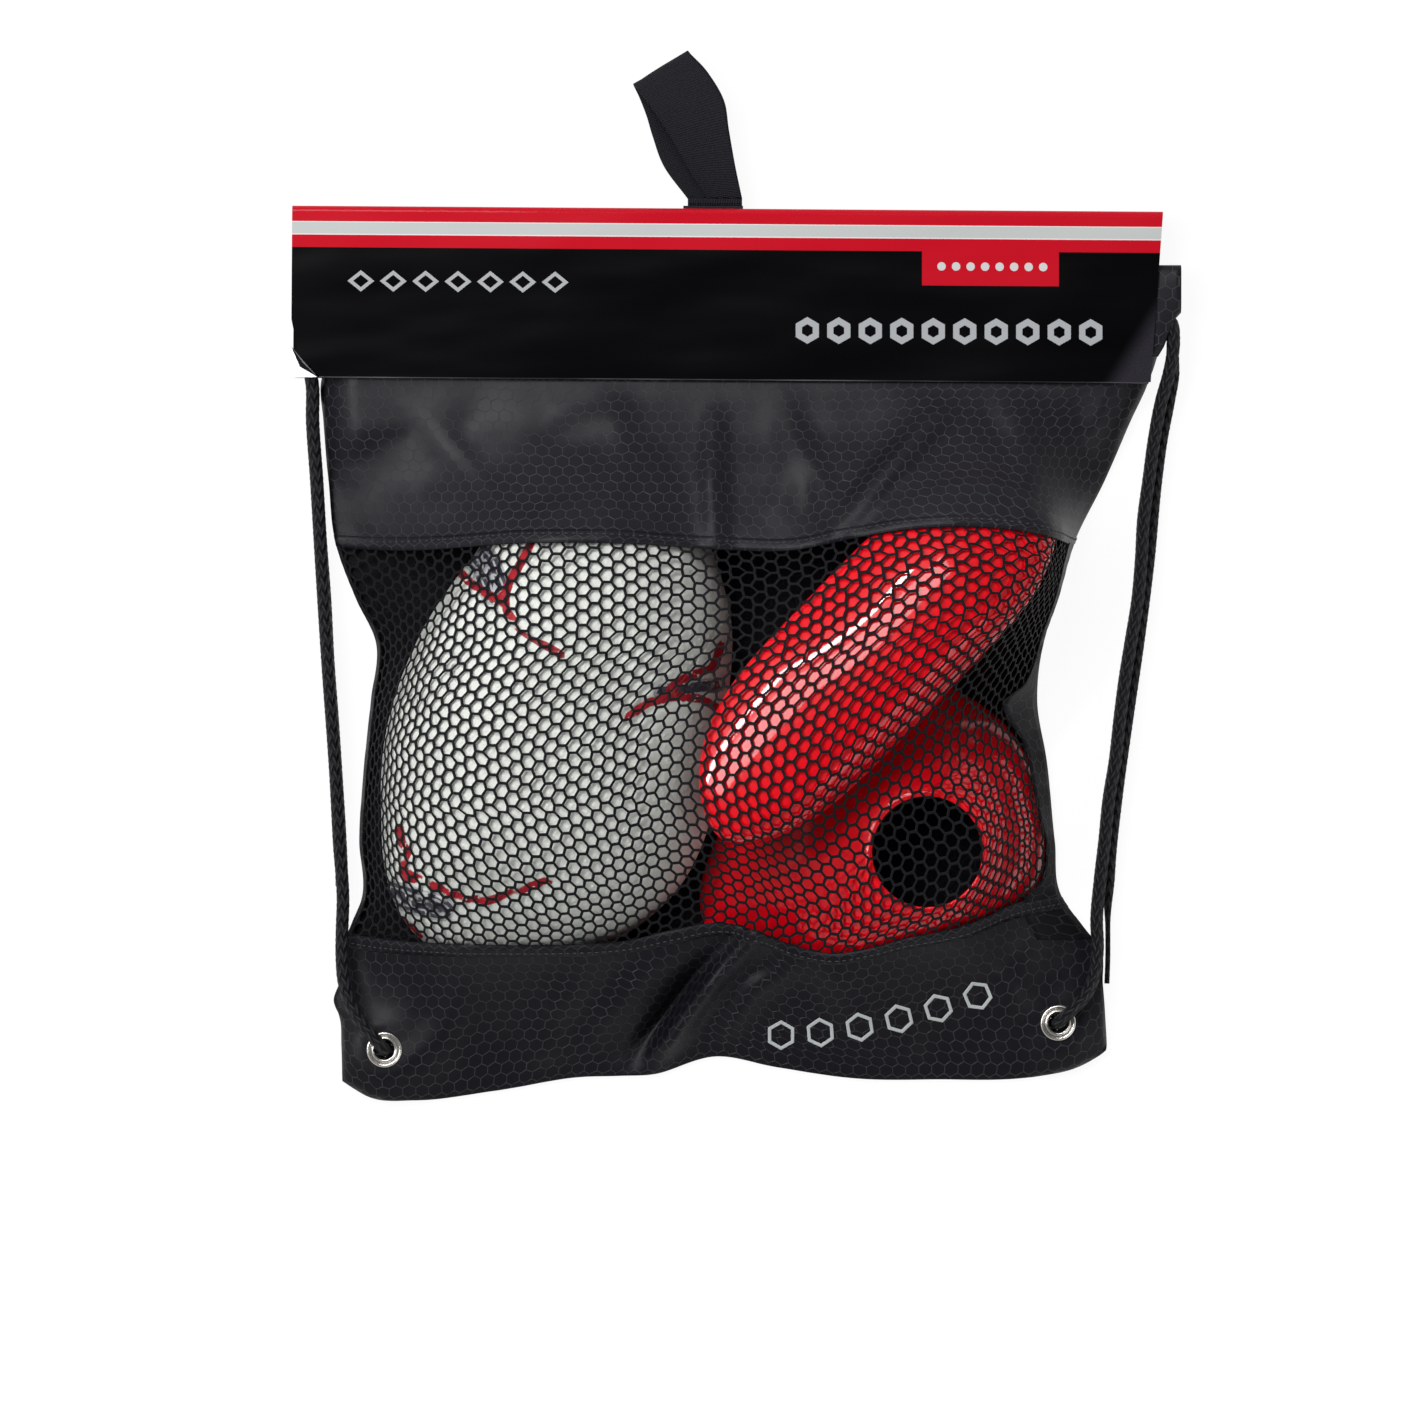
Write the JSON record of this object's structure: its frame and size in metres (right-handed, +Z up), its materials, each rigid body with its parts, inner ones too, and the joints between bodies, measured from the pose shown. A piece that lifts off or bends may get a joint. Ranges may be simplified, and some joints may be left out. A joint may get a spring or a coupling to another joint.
{
  "type": "packed netball set",
  "caption": "Deflated netball and two soft marker cones packed in a drawstring bag with a mesh window, side cords through corner eyelets, a folded header card and a turning hanging loop.",
  "frame": {"origin": "middle of the pack's footprint, without its free cords, on the surface that the bag lies on", "axes": "+X to the bag's right as seen from above, +Y along the bag to its mouth, card and hanging loop, +Z up out of the front of the bag"},
  "size_m": [0.3989, 0.4717, 0.0863],
  "materials": {
    "bag_cloth": "black woven ripstop nylon, slight sheen",
    "mesh": "black knitted mesh with six-sided cells",
    "cord": "black braided cord",
    "eyelet_metal": "bright nickel plate",
    "card": "black card with red and silver stripes under a gloss film",
    "tape": "black woven tape with slanting ribs",
    "ball_cover": "off-white pimpled rubber with red and dark flashes",
    "lining": "grey wound cloth",
    "bladder_rubber": "black rubber",
    "cone_plastic": "glossy red soft plastic"
  },
  "bodies": {
    "pack": {"back_panel": "bag_cloth", "front_top_panel": "bag_cloth", "mesh_window": "mesh", "front_bottom_panel": "bag_cloth", "front_channel": "bag_cloth", "rear_channel": "bag_cloth", "left_cord_in_channels": "cord", "right_cord_in_channels": "cord", "left_cord_front": "cord", "left_cord_rear": "cord", "right_cord_front": "cord", "right_cord_rear": "cord", "cord_knots": "cord", "eyelets": "eyelet_metal", "eyelet_washers": "eyelet_metal", "header_card": "card", "loop_tails": "tape", "ball_panels_top": "ball_cover", "ball_panels_bottom": "ball_cover", "ball_panels_left": "ball_cover", "ball_panels_right": "ball_cover", "ball_panels_front": "ball_cover", "ball_panels_back": "ball_cover", "ball_lining": "lining", "ball_bladder": "bladder_rubber", "ball_valve": "bladder_rubber", "folded_marker_cone": "cone_plastic", "dished_marker_cone": "cone_plastic"},
    "loop": {"hang_loop": "tape"}
  },
  "joints": [
    {"name": "loop_turn", "type": "hinge", "parent": "pack", "child": "loop", "pos_m": [-0.0095, 0.1671, 0.00895], "axis": [1, 0, 0], "range_deg": [0, 90]}
  ]
}
